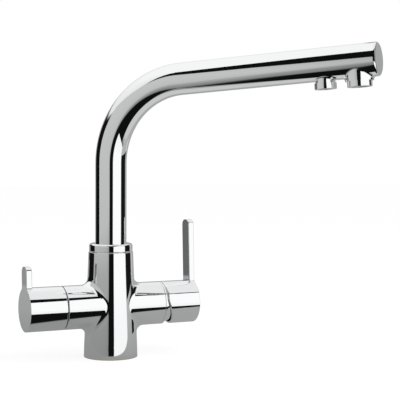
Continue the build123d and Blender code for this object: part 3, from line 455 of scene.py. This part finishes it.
def make_floor():
    """White to the camera, with a faint shadow. Gloss sees grey tones painted near the tap, a
    painted reflection, and looks through the floor elsewhere.
    """
    bm = bmesh.new()
    bmesh.ops.create_grid(bm, x_segments=1, y_segments=1, size=FLOOR_HALF)
    material, n = new_material("floor")
    x, y, _ = n.axes(n.place())
    forward, aside = (
        n.math("ADD", n.math("MULTIPLY", x, way.x), n.math("MULTIPLY", y, way.y))
        for way in (FORWARD, ASIDE)
    )
    painted_reflection_tone = n.ramp(
        n.step(aside, -PAINTED_REFLECTION_HALF, PAINTED_REFLECTION_HALF, smooth=False),
        [(0.5 + where, level) for where, level in PAINTED_REFLECTION_TONES],
    )
    painted_reflection_mask = n.math("MULTIPLY", n.step(forward, *PAINTED_REFLECTION_EDGE, 1.0, 0.0),
                   n.step(n.radius(x, y), *PAINTED_REFLECTION_END, 1.0, 0.0))
    from_camera, shiny = n.rays()
    matt, shade = (
        n.add("ShaderNodeBsdfDiffuse", {"Color": (level, level, level, 1)}).outputs[0]
        for level in (FLOOR_MATT, FLOOR_SHADE)
    )
    white = n.add("ShaderNodeAddShader", {0: shade, 1: n.glow(WHITE, FLOOR_GLOW)}).outputs[0]
    # painted reflection: gloss sees a grey glow near the tap and looks through the floor elsewhere
    mirrored = n.mixed(painted_reflection_mask, n.clear(), n.glow(painted_reflection_tone))
    n.finish("Material", n.mixed(shiny, n.mixed(from_camera, matt, white), mirrored))
    stage_object("floor", bm, material)


def make_lamp(power):
    lamp = bpy.data.lights.new("soft_lamp", "AREA")
    lamp.energy = power
    lamp.size = LAMP_SIZE
    placed = bpy.data.objects.new("soft_lamp", lamp)
    placed.location = LAMP_PLACE
    placed.rotation_euler = Vector(LAMP_BACK).to_track_quat("Z", "Y").to_euler()
    placed.visible_glossy = False
    bpy.context.scene.collection.objects.link(placed)


def make_camera(lens):
    camera = bpy.data.cameras.new("camera")
    camera.sensor_width = SENSOR_WIDTH
    camera.lens = lens
    placed = bpy.data.objects.new("camera", camera)
    turn = (
        Matrix.Rotation(radians(CAMERA_TURN), 4, "Z")
        @ Matrix.Rotation(radians(CAMERA_PITCH), 4, "X")
        @ Matrix.Rotation(radians(CAMERA_ROLL), 4, "Z")
    )
    placed.matrix_world = Matrix.Translation(CAMERA_PLACE) @ turn
    bpy.context.scene.collection.objects.link(placed)
    bpy.context.scene.camera = placed


class TAP_OT_studio(bpy.types.Operator):
    """Floor, surroundings, lamp and camera"""

    bl_idname = "tap.studio"
    bl_label = "Studio"

    def execute(self, context):
        studio = context.scene.tap_studio
        make_world()
        make_floor()
        make_cards()
        make_end_cards()
        make_lamp(studio.lamp_power)
        make_camera(studio.lens)
        context.scene.view_settings.view_transform = "Standard"
        return {"FINISHED"}


# ---------------------------------------------------------------- finishes
PLATING_SHADES = (0.985, 1.0)
BARE_FOOT = (0.0003, 0.0006)  # bare below this height
BARE_INSIDE = (0.0166, 0.017)  # bare nearer to the column's axis than this


def new_finish(name):
    """A material with nothing in it yet, its nodes and the place on the piece."""
    material, n = new_material(name)
    return material, n, n.place()


def surface(n, inputs):
    n.finish("Material", n.add("ShaderNodeBsdfPrincipled", inputs).outputs[0])


def shades(colour, low, high):
    """A darker and a lighter shade of a colour."""
    return [(*[min(1, part * by) for part in colour], 1) for by in (low, high)]


def plating_haze(n, place, finish):
    """Gloss that varies a little, with wiping marks hardly to be seen."""
    cloud = n.step(n.grain(place, 60.0, 4.0), 0.3, 0.8, 0.6, 1.5)
    wipe = n.step(n.grain(place, 90.0, 2.0, (1, 1, 14)), 0.62, 0.8, 0.0, 0.5)
    return n.math("MULTIPLY", n.math("ADD", cloud, wipe), finish.chrome_haze)


def chrome_finish(finish):
    """Bright plating over a polished surface."""
    material, n, place = new_finish("chrome_plating")
    tint = n.blend(*shades(finish.chrome, *PLATING_SHADES), n.grain(place, 25.0))
    surface(n, {"Base Color": tint, "Metallic": 1.0, "Roughness": plating_haze(n, place, finish)})
    return material


def casting_finish(finish):
    """Plating outside, bare machined brass under the foot and inside."""
    material, n, place = new_finish("plated_casting")
    x, y, z = n.axes(place)
    bare = n.math("MAXIMUM", n.step(z, *BARE_FOOT, 1.0, 0.0),
                  n.step(n.radius(x, y), *BARE_INSIDE, 1.0, 0.0))
    marks = n.grain(place, 1400.0, 2.0)
    brass = n.blend(*shades(finish.brass, 0.9, 1.06), marks)
    tint = n.blend(*shades(finish.chrome, *PLATING_SHADES), n.grain(place, 25.0))
    surface(n, {
        "Base Color": n.blend(tint, brass, bare),
        "Metallic": 1.0,
        "Roughness": n.tone(plating_haze(n, place, finish), n.step(marks, 0.3, 0.7, 0.22, 0.4),
                            bare),
    })
    return material


def brass_finish(finish):
    """Bare brass with fine tool marks, duller in patches."""
    material, n, place = new_finish("turned_brass")
    marks = n.add(
        "ShaderNodeTexWave",
        {"Vector": place, "Scale": 900.0, "Distortion": 1.2, "Detail": 2.0},
        wave_type="BANDS", bands_direction="Z",
    ).outputs["Fac"]
    patch = n.grain(place, 120.0, 4.0)
    surface(n, {
        "Base Color": n.blend(*shades(finish.brass, 0.86, 1.05), patch),
        "Metallic": 1.0,
        "Roughness": n.step(n.math("ADD", marks, patch), 0.4, 1.5, 0.22, 0.4),
        "Normal": n.relief(marks, 0.00001, 0.4),
    })
    return material


def steel_finish(finish):
    """Steel with fine brush marks."""
    material, n, place = new_finish("brushed_steel")
    brushed = n.grain(place, 300.0, 3.0, (0.2, 1, 1))
    surface(n, {
        "Base Color": n.blend(*shades(finish.steel, 0.9, 1.08), brushed),
        "Metallic": 1.0,
        "Roughness": n.step(brushed, 0.3, 0.7, 0.28, 0.42),
        "Normal": n.relief(brushed, 0.00001, 0.5),
    })
    return material


def rubber_finish(finish):
    """Matt black rubber with a fine grain and a little dust."""
    material, n, place = new_finish("moulded_rubber")
    grain = n.grain(place, 1800.0, 3.0)
    dust = n.step(n.grain(place, 220.0, 5.0), 0.55, 0.8)
    surface(n, {
        "Base Color": n.blend(*shades(finish.rubber, 0.8, 2.2), dust),
        "Roughness": n.step(grain, 0.3, 0.7, 0.55, 0.75),
        "Normal": n.relief(grain, 0.00003, 0.6),
    })
    return material


def ceramic_finish(finish):
    """Lapped ceramic, nearly glossy, with small specks."""
    material, n, place = new_finish("lapped_ceramic")
    specks = n.add("ShaderNodeTexVoronoi", {"Vector": place, "Scale": 900.0}).outputs["Distance"]
    spots = n.step(specks, 0.08, 0.16, 0.6, 0.0)
    cloud = n.grain(place, 150.0)
    base = n.blend(*shades(finish.ceramic, 0.95, 1.02), cloud)
    surface(n, {
        "Base Color": n.blend(base, shades(finish.ceramic, 0.7, 0.7)[0], spots),
        "Roughness": n.step(cloud, 0.3, 0.7, 0.12, 0.25),
    })
    return material


def plastic_finish(name, colour, grain_scale, rough):
    """Moulded plastic with a fine grain and a slightly uneven colour."""
    material, n, place = new_finish(name)
    grain = n.grain(place, grain_scale, 3.0)
    flow = n.grain(place, 70.0, 2.0)
    surface(n, {
        "Base Color": n.blend(*shades(colour, 0.93, 1.04), flow),
        "Roughness": n.step(grain, 0.3, 0.7, rough - 0.06, rough + 0.08),
        "Normal": n.relief(grain, 0.00002, 0.5),
    })
    return material


def dress(slot, material, only=None):
    """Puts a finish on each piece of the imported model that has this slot."""
    dressed = 0
    for name, piece in nodes.items():
        for index, kept in enumerate(piece.data.materials):
            if kept and kept.name == slot and (only is None or name in only):
                piece.material_slots[index].link = "OBJECT"
                piece.material_slots[index].material = material
                dressed += 1
    if not dressed:
        raise RuntimeError("no piece has the slot " + slot)


class TAP_OT_plated_pieces(bpy.types.Operator):
    """The body, the spout, the handles and the rings, in polished chrome"""

    bl_idname = "tap.plated_pieces"
    bl_label = "Plated Pieces"

    def execute(self, context):
        finish = context.scene.tap_finish
        dress("polished_chrome", chrome_finish(finish))
        dress("polished_chrome", casting_finish(finish), only=("body_casting",))
        return {"FINISHED"}


class TAP_OT_brass_pieces(bpy.types.Operator):
    """The valve body, the spindle, the spigot, the nut and the nipple"""

    bl_idname = "tap.brass_pieces"
    bl_label = "Brass Pieces"

    def execute(self, context):
        dress("bare_brass", brass_finish(context.scene.tap_finish))
        return {"FINISHED"}


class TAP_OT_steel_pieces(bpy.types.Operator):
    """The screws, the clip, the stem and its pin"""

    bl_idname = "tap.steel_pieces"
    bl_label = "Steel Pieces"

    def execute(self, context):
        dress("stainless_steel", steel_finish(context.scene.tap_finish))
        return {"FINISHED"}


class TAP_OT_seals(bpy.types.Operator):
    """The gasket, the washers, the sealing rings and the valve seats"""

    bl_idname = "tap.seals"
    bl_label = "Seals"

    def execute(self, context):
        dress("black_rubber", rubber_finish(context.scene.tap_finish))
        return {"FINISHED"}


class TAP_OT_discs(bpy.types.Operator):
    """The fixed and moving discs of both valves"""

    bl_idname = "tap.discs"
    bl_label = "Valve Discs"

    def execute(self, context):
        dress("white_ceramic", ceramic_finish(context.scene.tap_finish))
        return {"FINISHED"}


class TAP_OT_plastic_pieces(bpy.types.Operator):
    """The cartridge's mouldings, the slip rings, the inner tube, the inserts and the plugs"""

    bl_idname = "tap.plastic_pieces"
    bl_label = "Plastic Pieces"

    def execute(self, context):
        finish = context.scene.tap_finish
        dress("white_plastic",
              plastic_finish("white_moulding", finish.white_plastic, 1500.0, 0.4))
        dress("grey_plastic", plastic_finish("grey_moulding", finish.grey_plastic, 1200.0, 0.45))
        return {"FINISHED"}


class TAP_PT_panel(bpy.types.Panel):
    """The tap's pieces and settings"""

    bl_label = "Three Way Kitchen Tap"
    bl_idname = "TAP_PT_panel"
    bl_space_type = "VIEW_3D"
    bl_region_type = "UI"
    bl_category = "Tap"

    def draw(self, context):
        for kind in PIECES:
            self.layout.operator(kind.bl_idname)


PIECES = (
    TAP_OT_studio, TAP_OT_plated_pieces, TAP_OT_brass_pieces, TAP_OT_steel_pieces, TAP_OT_seals,
    TAP_OT_discs, TAP_OT_plastic_pieces,
)
GROUPS = (TapFinish, TapStudio)


def register():
    for kind in (*GROUPS, *PIECES, TAP_PT_panel):
        bpy.utils.register_class(kind)
    bpy.types.Scene.tap_finish = PointerProperty(type=TapFinish)
    bpy.types.Scene.tap_studio = PointerProperty(type=TapStudio)


def unregister():
    del bpy.types.Scene.tap_studio, bpy.types.Scene.tap_finish
    for kind in reversed((*GROUPS, *PIECES, TAP_PT_panel)):
        bpy.utils.unregister_class(kind)


def main():
    register()
    bpy.ops.tap.studio()
    bpy.ops.tap.plated_pieces()
    bpy.ops.tap.brass_pieces()
    bpy.ops.tap.steel_pieces()
    bpy.ops.tap.seals()
    bpy.ops.tap.discs()
    bpy.ops.tap.plastic_pieces()


if __name__ == "__main__":
    main()
